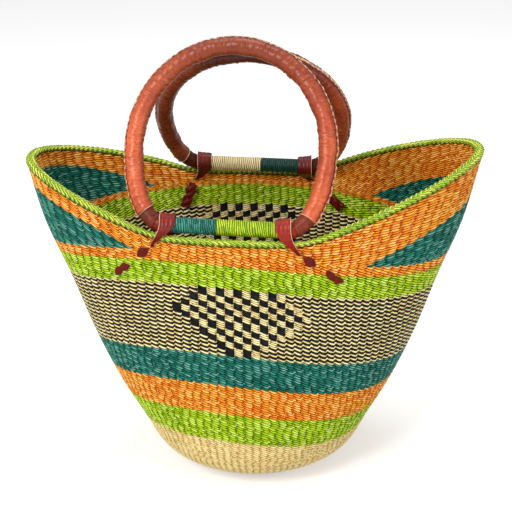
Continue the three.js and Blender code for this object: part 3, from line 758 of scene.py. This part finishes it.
def add_band(name, low, node, slot, high, rows):
    """A dyed band all the way round between two rows of the weave. The lowest one starts level."""
    columns = rib_columns(0, RIBS)

    def places(samples):
        v = row_samples(rows, samples)
        nominal = natural_profile(v / rows) if low == 0 else low + (high - low) * v / rows
        angle = np.array([rib_angle(columns, h) for h in nominal])
        settle = np.clip(nominal / LEVEL_FOOT, 0, 1)[:, None]
        z = np.array([stepped(lambda a: row_height(h, a), columns, h) for h in nominal])
        z = nominal[:, None] + (z - nominal[:, None]) * settle
        return angle, z, np.broadcast_to(v[:, None], z.shape)

    return finish_piece(woven_ring(f"weave_{name}", columns, places), slot, node)


def natural_profile(share):
    """Height at a share of the way up the lowest band, measured along its curve at the middle of the front."""
    z = np.linspace(0, NATURAL_TOP, 300)
    run = run_along(outside(-np.pi / 2, z))
    return np.interp(share * run[-1], run, z)


def add_rim_strip(name, columns, low_line, slot, node, closed):
    """Rows that lie parallel to the rim, counted down from it and cut off below by a line.

    The rim band goes all the way round and up to the plait. A wedge goes up to the rim band.
    """
    low = stepped(low_line, columns, ORANGE_UPPER_TOP)
    high = top = stepped(wall_top, columns, ORANGE_UPPER_TOP) + WALL_TUCK
    if not closed:
        high = stepped(rim_band_foot, columns, ORANGE_UPPER_TOP)
        high[[0, -1]] = low[[0, -1]]
    count = int(np.ceil((top - low).max() / ROW))

    def places(samples):
        z = np.clip(top - (count - row_samples(count, samples)[:, None]) * ROW, low, high)
        angle = rib_angle(columns, ORANGE_UPPER_TOP)
        return np.broadcast_to(angle, z.shape), z, count - (top - z) / ROW

    finish_piece(woven_ring(name, columns, places, closed, merge=True), slot, node)


def add_gore(side, turned):
    """A teal wedge at a wing, a share of a turn round from the front, over the row that carries it."""
    def foot(angle):
        return row_height(ORANGE_UPPER_TOP, angle)

    tip = int(FRONT_MIDDLE + RIBS * turned)
    ribs = np.arange(tip - 20, tip + 21)  # more than a wedge is wide
    middle = rib_angle(ribs + 0.5, ORANGE_UPPER_TOP)
    tall = ribs[rim_band_foot(middle) - foot(middle) > 0.5]
    columns = np.append(rib_columns(tall[0], tall[-1] + 1), tall[-1] + 1)
    add_rim_strip(f"weave_gore_{side}", columns, foot, "teal_grass", f"teal_gore_{side}", closed=False)


def dye_checker(piece, rows):
    """Black and undyed strands turn about row by row, with a checker of ten steps at the front and the back.

    At step s, from the top, the checker reaches 8 - |s - 3| ribs to either side of its middle.
    """
    steps, rows_to_step, widest, widest_step = 10, 3.2, 8, 3
    rib, row = np.floor(face_lay(piece).mean(1)).T
    step = np.minimum(np.floor((rows - 1 - row) / rows_to_step), steps - 1)
    reach = widest - np.abs(step - widest_step)
    black = np.mod(row, 2)
    for middle in CHECKER_MIDDLES:
        off = np.mod(rib - middle + RIBS / 2, RIBS) - RIBS / 2
        black = np.where((off >= -reach) & (off < reach), np.mod(off + reach + 1, 2), black)
    mark_faces(piece, "dye", black)


def add_base():
    """The flat round start of the weave: rings of strands over half as many ribs.

    Their relief dies out at the middle and at the edge.
    """
    inner_fade, outer_fade = 14, 2
    columns = rib_columns(0, RIBS)
    rings = (row_samples(BASE_ROWS, OUTER_SAMPLES) / BASE_ROWS * BASE_RADIUS)[:, None]
    rows = rings / BASE_RADIUS * BASE_ROWS
    angle = rib_angle(columns, 0.0)
    fade = np.clip(rings / inner_fade, 0, 1) * np.clip((BASE_RADIUS - rings) / outer_fade, 0, 1)
    stand = (relief(columns / 2, rows) - 0.6) * fade * 0.5
    flat = np.stack([rings * np.cos(angle), rings * np.sin(angle), -stand], -1)
    top = np.concatenate([flat[..., :2], WALL + stand[..., None]], -1)
    uv = uv_grid(columns / 2, rows)
    uv = np.concatenate([uv, uv[::-1]])
    uv = np.concatenate([uv, uv[:, :1] + np.array([RIBS / 2, 0])], axis=1)
    piece = surface("weave_base", np.concatenate([flat, top[::-1]]), uv, along=False, merge=True)
    finish_piece(piece, "natural_grass", "base_disc")


def add_wall():
    add_base()
    low = 0
    for name, band in BANDS.items():
        piece = add_band(name, low, *band)
        low, rows = band[2:]
        if name == "checker":
            dye_checker(piece, rows)
    add_gore("left", 3 / 4)
    add_gore("right", 1 / 4)
    add_rim_strip("weave_orange_rim", rib_columns(0, RIBS), rim_band_foot, "orange_grass", "orange_rim_band",
                  closed=True)


# ---- the plaited edge

def rim_line(count):
    """Points along the middle of the plaited edge, evenly spaced."""
    angle = np.linspace(0, 2 * np.pi, 4001)
    top = wall_top(angle)
    line = in_wall(angle, top, WALL / 2)
    line[:, 2] = top + SEAM + BRAID_HALF_HEIGHT * BRAID_SEAT
    run = run_along(line)
    return points_at(np.linspace(0, run[-1], count, endpoint=False), run, line)


def ahead_along(line):
    """The direction of a closed line at each of its points."""
    return unit(np.roll(line, -1, axis=0) - np.roll(line, 1, axis=0))


def add_plait():
    """Three flat strands plaited along the rim.

    A strand swings across the edge as a sine and over and under as the sine of twice the angle, and the
    three are a third of a turn apart. Its section is an ellipse that lies flat in the plait. The plait is
    pressed thinner at the four places where a collar passes it as its hoop swings out.
    """
    weaves, steps, sides = 66, 20, 12
    swing, lift, half_width, half_thick = 2.2, 1.15, 2.0, 1.75
    pressed, press_reach = 0.22, 15
    count = weaves * steps
    line = rim_line(count)
    along = ahead_along(line)
    up = unit(np.array([0, 0, 1.0]) - along * along[:, 2:])
    across = np.cross(along, up)
    place = 2 * np.pi * np.arange(count) / count
    press = np.ones(count)
    for side in SIDES:
        for sign in ENDS.values():
            off = line[:, 0] - HOOP_X[side] - sign * (COLLAR_END - 4)
            press -= pressed * bell(off, press_reach) * (line[:, 1] * FACING[side] > 0)
    for number in range(3):
        phase = 2 * np.pi * (np.arange(count) / steps + number / 3)
        slack = 0.5 * np.sin(23 * place + 2 * number) + 0.5 * np.sin(61 * place + 5 * number)
        centre = line + across * (press * (swing + 0.15 * slack) * np.sin(phase))[:, None]
        centre += up * (press * (lift - 0.12 * slack) * np.sin(2 * phase))[:, None]
        fat = press * (1 + 0.06 * slack + 0.04 * np.sin(37 * place + number))
        ahead = ahead_along(centre)
        flat = unit(up - ahead * np.sum(up * ahead, axis=1, keepdims=True))
        points = rings_about(centre, np.cross(ahead, flat), flat, half_width * fat, half_thick * fat,
                             turns_round(sides))
        uv = uv_grid(np.arange(sides + 1) / 2, 2 * (np.arange(count + 1) / steps + number / 3))
        nodes = [] if number else ["rim_braid"]
        finish_piece(surface(f"plait_strand_{number + 1}", points, uv), "braid_grass", *nodes)


# ---- the hoops

def hoop_table():
    """The hoop's centre line in its own plane: a straight bar, two elliptic corners and an elliptic arch."""
    t = np.linspace(0, np.pi / 2, 400)
    corner = HOOP_HALF_WIDTH - BAR_HALF
    bar = np.stack([np.linspace(0, BAR_HALF, 200), np.zeros(200)], -1)
    right = np.stack([BAR_HALF + corner * np.sin(t), HOOP_WIDEST * (1 - np.cos(t))], -1)
    arch = np.stack([HOOP_HALF_WIDTH * np.cos(t), HOOP_WIDEST + (HOOP_HEIGHT - HOOP_WIDEST) * np.sin(t)], -1)
    half = np.concatenate([bar, right[1:], arch[1:]])
    line = np.concatenate([half, half[-2::-1] * np.array([-1, 1])])
    return line, run_along(line)


HOOP_LINE, HOOP_RUN = hoop_table()
HOOP_LENGTH = HOOP_RUN[-1]


def hoop_points(distance, radius, turn):
    """Points round the hoop's centre line at distances along it. Turn 0 is the outer edge of the hoop."""
    back, here, on = (points_at(np.mod(distance + step, HOOP_LENGTH), HOOP_RUN, HOOP_LINE)
                      for step in (-0.6, 0, 0.6))
    along = unit(on - back)
    out = radius * np.cos(turn)
    return np.stack([here[..., 0] + along[..., 1] * out, radius * np.sin(turn),
                     here[..., 1] - along[..., 0] * out], -1)


def bar_at(side, x):
    """A point on the middle line of a bar: it falls to the right and lies nearer the front there."""
    y = FACING[side] * BAR_DEPTH[side] - (x - HOOP_X[side]) * math.tan(BAR_SKEW[side])
    return np.array([x, y, RIM_LOW + BAR_ABOVE_RIM[side] - x * math.tan(BAR_TILT)])


def lean(side):
    """How far a hoop leans in. The back hoop rests on the front one, a hoop's thickness from its plane."""
    if side == "front":
        return FRONT_LEAN
    climb = bar_at("back", HOOP_X["back"])[2] - bar_at("front", HOOP_X["front"])[2]
    away = sum(BAR_DEPTH.values()) * math.cos(FRONT_LEAN) - climb * math.sin(FRONT_LEAN)
    return math.asin((away - 2 * SLEEVE_RADIUS - SEAM) / HOOP_HEIGHT) - FRONT_LEAN


def to_basket(side, points):
    """From a hoop's own plane to its place: leaning in about its bar, and the bar following the rim's fall."""
    place = (Matrix.Translation(Vector(bar_at(side, HOOP_X[side]))) @ Matrix.Rotation(-BAR_SKEW[side], 4, "Z")
             @ Matrix.Rotation(BAR_TILT, 4, "Y") @ Matrix.Rotation(FACING[side] * lean(side), 4, "X"))
    matrix = np.array(place)
    return points @ matrix[:3, :3].T + matrix[:3, 3]


def waves(d, turn, seed, count, longest, shortest, most_round=3):
    """Uneven bumps on a tube: a sum of waves of random pitch, each with a whole number of crests round it."""
    rng = np.random.default_rng(seed)
    total = np.zeros(np.broadcast(d, turn).shape)
    for _ in range(count):
        pitch = longest * (shortest / longest) ** rng.random()
        crests = rng.integers(-most_round, most_round + 1)
        total += np.sin(2 * np.pi * d / pitch + crests * turn + rng.uniform(0, 6.28)) / np.sqrt(count)
    return total


def add_sleeve(side, name, node, slot, span, radius, rings, columns=48, lay=uv_grid):
    """A hollow sleeve on a hoop's core: outside with a radius that is a function of place, plain inside."""
    start, end = span
    d = np.linspace(start + SEAM / 2, end - SEAM / 2, rings)[:, None]
    turn = turns_round(columns)[None, :]
    outer = hoop_points(*np.broadcast_arrays(d, radius(d, turn), turn))
    bore = np.linspace(d[-1], d[0], 2 + int((end - start) / 6))
    inner = hoop_points(*np.broadcast_arrays(bore, CORE_RADIUS + SEAM, turn))
    points = to_basket(side, np.concatenate([outer, inner]))
    uv = lay(np.append(turn, 2 * np.pi), np.concatenate([d, bore, d[:1]]))
    return finish_piece(surface(f"{side}_{name}", points, uv), slot, f"{side}_{node}", body=f"{side}_handle")


def paint_shade(piece, side, arch=False):
    """Marks how far painted shade darkens leather.

    On an arch the share goes over from that at the right to that at the left, and is at least that at the top
    of the arch, fading to either side. All other leather has the left one.
    """
    change_over, shade_reach = 120, 90
    right, left, top = SHADE_SHARE[side] if arch else (SHADE_SHARE[side][1], SHADE_SHARE[side][1], 0)
    past = face_lay(piece)[:, 0, 1] - HOOP_LENGTH / 2
    near_top = np.clip(1.3 - np.abs(past) / shade_reach, 0, 1) * top
    everywhere = right + np.clip(0.5 + past / change_over, 0, 1) * (left - right)
    mark_faces(piece, "held", np.maximum(near_top, everywhere))


def leather_radius(seed):
    """Wrinkled leather, with a raised seam along the hoop's outer edge and a crease on either side of it."""
    def radius(d, turn):
        off = np.abs(np.mod(turn + np.pi, 2 * np.pi) - np.pi)
        lip = 1.3 * bell(off, 0.13) * (0.9 + 0.1 * np.cos(2 * np.pi * d / STITCH_PITCH))
        crease = 0.5 * bell(off - 0.34, 0.12)
        broad = 0.26 * waves(d, turn, seed, 10, 45, 16, 2)
        folds = 0.2 * np.abs(waves(d, turn, seed + 1, 12, 48, 12, 4))
        folds = folds + 0.2 * waves(d, turn, seed + 2, 14, 8, 3.2, 3)
        return SLEEVE_RADIUS - 0.25 + lip - crease + broad + folds
    return radius


def threads_passed(d, turn):
    """The count of threads to a place on a bar. Three are wound at once, so they slant, a little unevenly."""
    uneven = 0.22 * np.sin(turn + d / 5) + 0.16 * np.sin(2 * turn - d / 2.3)
    return d / THREAD_PITCH - 3 * turn / (2 * np.pi) + uneven


def thread_radius(d, turn):
    """Threads side by side round the bar: each stands out as the root of a sine across it."""
    return THREAD_RADIUS - 0.5 + 0.55 * np.abs(np.sin(np.pi * threads_passed(d, turn))) ** 0.7


def thread_lay(turn, d):
    return uv_grid(threads_passed(d, turn), d * 0 + turn * THREAD_RADIUS)


def strap_radius(base, pitch, seed):
    """A strap wound in a steep spiral: each turn rises and laps over the edge of the one before."""
    def radius(d, turn):
        lap = np.mod(d / pitch - turn / (2 * np.pi), 1)
        return base - 0.45 + 0.45 * lap**0.6 + 0.09 * waves(d, turn, seed, 10, 9, 3, 3)
    return radius


def add_cut_ring(side, end):
    """The pale cut edge of a collar: a thin bead round the hoop, slightly aslant."""
    at = COLLAR_END if end == "right" else HOOP_LENGTH - COLLAR_END
    turn = np.linspace(0, 2 * np.pi, 73)
    centre = to_basket(side, hoop_points(at + 1.1 * np.cos(turn + 0.6), COLLAR_RADIUS + 0.1, turn))
    add_cord(f"{side}_cut_ring_{end}", tube(centre, 0.34), 2, turn * COLLAR_RADIUS, "natural_thread",
             body=f"{side}_handle", material="cut_edge")


def add_seam_thread(side):
    """Brown thread whipped over the seam: over the lip, down beside it, and over the lip again."""
    start = COLLAR_END + 2
    stitches = int((HOOP_LENGTH - 2 * start) / STITCH_PITCH)
    t = np.linspace(0, stitches, stitches * 12)
    d = start + t * STITCH_PITCH
    lift = SLEEVE_RADIUS + 0.6 + 0.5 * np.cos(2 * np.pi * 2 * t) * 0.6
    centre = to_basket(side, hoop_points(d, lift, 0.2 * np.sin(2 * np.pi * t)))
    add_cord(f"{side}_seam_thread", tube(centre, 0.22), 2, d, "natural_thread", body=f"{side}_handle",
             material="seam_thread")


def add_hoops():
    for number, side in enumerate(SIDES):
        piece = add_sleeve(side, "arch_leather", "hoop_leather", "hoop_leather",
                           (COLLAR_END, HOOP_LENGTH - COLLAR_END), leather_radius(10 + number), 420, 64)
        # Painted shade at the top of each arch, and over much of the back hoop
        paint_shade(piece, side, arch=True)
        spans = (-THREAD_END, THREAD_SPLIT[side]), (THREAD_SPLIT[side], THREAD_END)
        for end, slot, (start, stop) in zip(ENDS, THREADS[side], spans):
            rings = int((stop - start) / THREAD_PITCH * 7)
            add_sleeve(side, f"thread_{end}", f"bar_thread_{end}", slot, (start, stop), thread_radius, rings,
                       lay=thread_lay)
            for name, (node, strap, low, high, radius, pitch, seed, rings) in STRAPS.items():
                span = (low, high) if end == "right" else (HOOP_LENGTH - high, HOOP_LENGTH - low)
                piece = add_sleeve(side, f"{name}_{end}", f"{node}_{end}", strap, span,
                                   strap_radius(radius, pitch, seed + number), rings)
                # Painted shade on the straps and collars of the back hoop
                paint_shade(piece, side)
            add_cut_ring(side, end)
        add_seam_thread(side)
        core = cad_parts[f"{side}_hoop_core"].data.materials
        core.clear()
        core.append(MATERIALS["natural_thread"])


# ---- lashings, stitches and knots

def on_wall(x, z, facing):
    """The angle at which the wall reaches an x at a height."""
    return facing * math.acos(x / float(level(HALF_WIDTH, float(z))))


def lashing_foot(side, sign):
    """Where a lashing goes through the weave, found by repeating its x over the half width at the rim there."""
    x = HOOP_X[side] + sign * (LASH_AT + LASH_SPLAY)
    c = x / WING_HALF
    for _ in range(8):
        c = x / level(HALF_WIDTH, wall_top(FACING[side] * math.acos(c)))
    angle = FACING[side] * math.acos(c)
    return in_wall(angle, float(wall_top(angle)) - SEAM - LASH_FOOT_DEPTH, WALL / 2)


def strap_line(side, sign, foot):
    """The near edge of a lashing, as a belt round the bar and under the foot, and the x of its far edge.

    The near edge leans out at once and the far edge only towards the foot, clear of the hoop's corner.
    """
    top_x = HOOP_X[side] + sign * LASH_AT
    top = bar_at(side, top_x)
    low = foot + np.array([0, 0, LASH_FOOT_RADIUS])
    over_radius = BINDING_RADIUS + LASH_SLACK + LASH_THICK / 2
    apart = math.hypot(top[1] - low[1], top[2] - low[2])
    towards = math.atan2(top[2] - low[2], top[1] - low[1])
    wrap = math.acos((over_radius - LASH_FOOT_RADIUS) / apart)

    def arc(centre, radius, start, end, steps):
        turn = np.linspace(start, end, steps)
        return np.stack([centre[1] + radius * np.cos(turn), centre[2] + radius * np.sin(turn), turn], -1)

    over = arc(top, over_radius, towards - wrap, towards + wrap, 25)
    under = arc(low, LASH_FOOT_RADIUS, towards + wrap, towards + 2 * math.pi - wrap, 17)
    share = np.linspace(0, 1, 12)[1:-1, None]
    down = over[-1] + share * (under[0] - over[-1])
    rise = under[-1] + share * (over[0] + np.array([0, 0, 2 * math.pi]) - under[-1])
    line = np.concatenate([over, down, under, rise])
    fall = (top[1] - line[:, 0]) * math.cos(towards) + (top[2] - line[:, 1]) * math.sin(towards)
    fall = np.clip(fall / (apart + LASH_FOOT_RADIUS), 0, 1)
    half = LASH_WIDTH_FOOT / 2
    near_x = top_x - sign * FLAP_IN + fall**2 * (foot[0] - sign * half - top_x + sign * FLAP_IN)
    far_x = top_x + sign * FLAP_OUT + fall**2.6 * (foot[0] + sign * half - top_x - sign * FLAP_OUT)
    out = np.stack([np.zeros(len(line)), np.cos(line[:, 2]), np.sin(line[:, 2])], -1)
    return np.stack([near_x, line[:, 0], line[:, 1]], -1), far_x, out, fall


def add_lashing(side, end):
    """A broad leather strap round the bar that is gathered to a point where it goes through the weave.

    Its outer side is folded into pleats, a cosine across the strap, that deepen as the strap is gathered. At
    the bar its near edge turns in and its far edge flares out.
    """
    foot = lashing_foot(side, ENDS[end])
    name = f"{side}_{end}"
    near, far_x, out, fall = strap_line(side, ENDS[end], foot)
    outer, inner, pleats, half_thick = 29, 15, 7, 0.6
    across = np.concatenate([np.linspace(0, 1, outer), np.linspace(1, 0, inner)[1:-1]])
    fall = fall[:, None]
    pleat = (0.12 + 0.5 * fall) * np.cos(pleats * np.pi * across**1.3 + 1.2 * fall + len(name))
    flare = (0.9 * across**4 - 0.6 * (1 - across) ** 2) * (1 - fall)
    lift = np.where(np.arange(len(across)) < outer, half_thick + pleat, -0.02 - half_thick) + flare
    points = near[:, None] + out[:, None] * lift[..., None]
    points[..., 0] += (far_x - near[:, 0])[:, None] * across
    uv = uv_grid(np.linspace(0, 1, points.shape[1] + 1), np.linspace(0, 60, points.shape[0] + 1))
    piece = surface(f"lashing_strap_{name}", points, uv)
    # Painted shade on the lashings of the back hoop
    paint_shade(finish_piece(piece, "red_leather", f"lashing_{name}"), side)
    edge = np.append(points[:, outer - 1], points[:1, outer - 1], axis=0)
    add_cord(f"lashing_cut_{name}", tube(edge, 0.28), 2, np.arange(len(edge)), "natural_thread",
             material="cut_edge")
    for kind, stitch in STITCHES.items():
        add_stitch(f"{kind}_{name}", side, ENDS[end], foot, *stitch)
    add_knot(name, side, ENDS[end], foot)


def add_stitch(name, side, sign, foot, out, down, shifts, length, width):
    """A stitch of folded leather: pointed lobes end to end, each with a crease along its middle.

    Across a lobe the half width is nearly the sine of the way along it, and the back of the lobe is a half
    circle less a crease at the middle.
    """
    z = foot[2] - down
    angle = on_wall(foot[0] + sign * out, z, FACING[side])
    at, away = outside(angle, z), outward(angle, z)
    slope, bent, half_thick = np.array([sign, 0, -0.75]), 0.28, 1.8
    along = unit(slope - away * np.dot(slope, away))
    across = np.cross(away, along)
    t = np.linspace(0, 1, 25)
    swell = np.maximum(np.sin(np.pi * t), 0) ** 0.95
    turn = turns_round(20)
    dent = 1 - 0.6 * bell(np.cos(turn), 0.25) * (np.sin(turn) > 0)
    for number, shift in enumerate(shifts):
        bend = (bent if number else -bent) * (len(shifts) - 1)
        ahead = along * math.cos(bend) + across * math.sin(bend)
        beside = across * math.cos(bend) - along * math.sin(bend)
        centre = at + ahead * ((t - 0.5 + shift) * length)[:, None] + away * (0.9 + 0.5 * swell)[:, None]
        points = rings_about(centre, beside, away, width / 2 * swell, half_thick * swell, turn, dent)
        label, nodes = (f"{name}_end", []) if number else (name, [f"stitch_{name}"])
        add_cord(label, points, 1, t * length, "dark_leather", *nodes)


def add_knot(name, side, sign, foot):
    """Two leather ends twisted round each other down the inside of the wall, with two knots on the way."""
    reach, fall, below_foot, off_wall, half_thick = 24 if sign > 0 else -9, 22, 3.4, 4.6, 2.7
    t = np.linspace(0, 1, 60)
    x = foot[0] + reach * t
    z = foot[2] - below_foot - fall * t
    angle = np.array([on_wall(a, b, FACING[side]) for a, b in zip(x, z)])
    away = -outward(angle, z)
    base = in_wall(angle, z, WALL) + away * off_wall
    across = np.cross(away, unit(np.gradient(base, axis=0)))
    knot = 1.1 * bell(t - 0.3, 0.07) + 1.0 * bell(t - 0.72, 0.06)
    spread = 1.9 * (0.75 + 0.5 * t)
    for number in range(2):
        phase = 2 * np.pi * (1.6 * t + number / 2)
        centre = (base + across * (spread * np.cos(phase))[:, None]
                  + away * (spread * np.sin(phase) * 0.7)[:, None])
        points = tube(centre, half_thick + knot - 0.3 * t, 14, 0.72, away[0])
        nodes = [] if number else [f"knot_{name}"]
        add_cord(f"knot_end_{name}_{number + 1}", points, 1, t * 30, "dark_leather", *nodes)


place_camera()
light_stage()
add_floor()
MATERIALS = make_materials()
add_wall()
add_plait()
add_hoops()
for hoop_side in SIDES:
    for bar_end in ENDS:
        add_lashing(hoop_side, bar_end)
